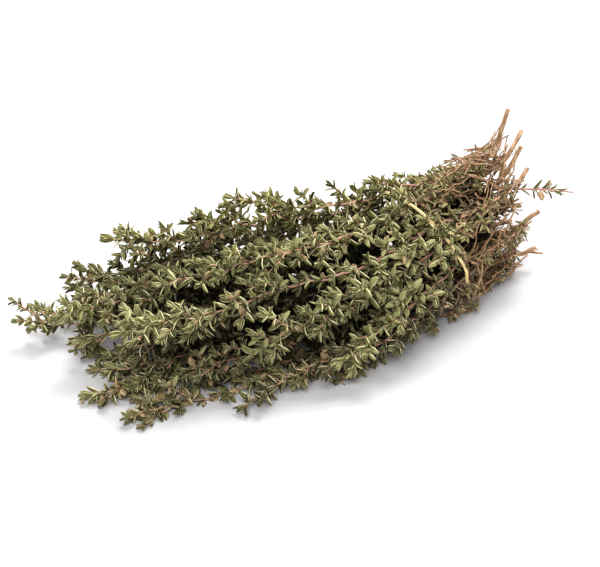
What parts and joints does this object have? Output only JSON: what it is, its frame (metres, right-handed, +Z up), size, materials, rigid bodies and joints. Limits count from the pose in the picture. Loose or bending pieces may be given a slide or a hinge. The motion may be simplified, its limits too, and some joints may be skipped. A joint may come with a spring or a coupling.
{
  "type": "thyme bundle",
  "caption": "Tied bundle of fresh cut thyme lying on its side: woody cut stems at one end, leafy shoots that fan out to tufted tips at the other, and a thin straw band round the waist.",
  "frame": {"origin": "centre of the bundle's bounding box, on the surface that it lies on", "axes": "+X along the bundle towards the cut ends of the stems, +Z up from the surface"},
  "size_m": [0.2572, 0.1266, 0.0666],
  "materials": {
    "wood": "matte bark, pinkish brown, paler at the cuts",
    "leaf": "matte grey-olive leaves with paler rolled edges, on thin brown-green stems",
    "straw": "dry straw, pale yellow, satin"
  },
  "bodies": {
    "root": {"tie": "straw", "woody_stem_01": "wood", "woody_stem_02": "wood", "woody_stem_03": "wood", "woody_stem_04": "wood", "woody_stem_05": "wood", "woody_stem_06": "wood", "woody_stem_07": "wood", "woody_stem_08": "wood", "woody_stem_09": "wood", "woody_stem_10": "wood", "woody_stem_11": "wood", "woody_stem_12": "wood", "leafy_shoot_01a": "leaf", "leafy_shoot_01b": "leaf", "leafy_shoot_01c": "leaf", "leafy_shoot_02a": "leaf", "leafy_shoot_02b": "leaf", "leafy_shoot_02c": "leaf", "leafy_shoot_03a": "leaf", "leafy_shoot_03b": "leaf", "leafy_shoot_03c": "leaf", "leafy_shoot_04a": "leaf", "leafy_shoot_04b": "leaf", "leafy_shoot_04c": "leaf", "leafy_shoot_05a": "leaf", "leafy_shoot_05b": "leaf", "leafy_shoot_05c": "leaf", "leafy_shoot_06a": "leaf", "leafy_shoot_06b": "leaf", "leafy_shoot_06c": "leaf", "leafy_shoot_07a": "leaf", "leafy_shoot_07b": "leaf", "leafy_shoot_07c": "leaf", "leafy_shoot_08a": "leaf", "leafy_shoot_08b": "leaf", "leafy_shoot_08c": "leaf", "leafy_shoot_09a": "leaf", "leafy_shoot_09b": "leaf", "leafy_shoot_09c": "leaf", "leafy_shoot_10a": "leaf", "leafy_shoot_10b": "leaf", "leafy_shoot_10c": "leaf", "leafy_shoot_11a": "leaf", "leafy_shoot_11b": "leaf", "leafy_shoot_11c": "leaf", "leafy_shoot_12a": "leaf", "leafy_shoot_12b": "leaf", "leafy_shoot_12c": "leaf", "leafy_shoot_backward": "leaf", "floor_twig": "wood"}
  },
  "joints": []
}
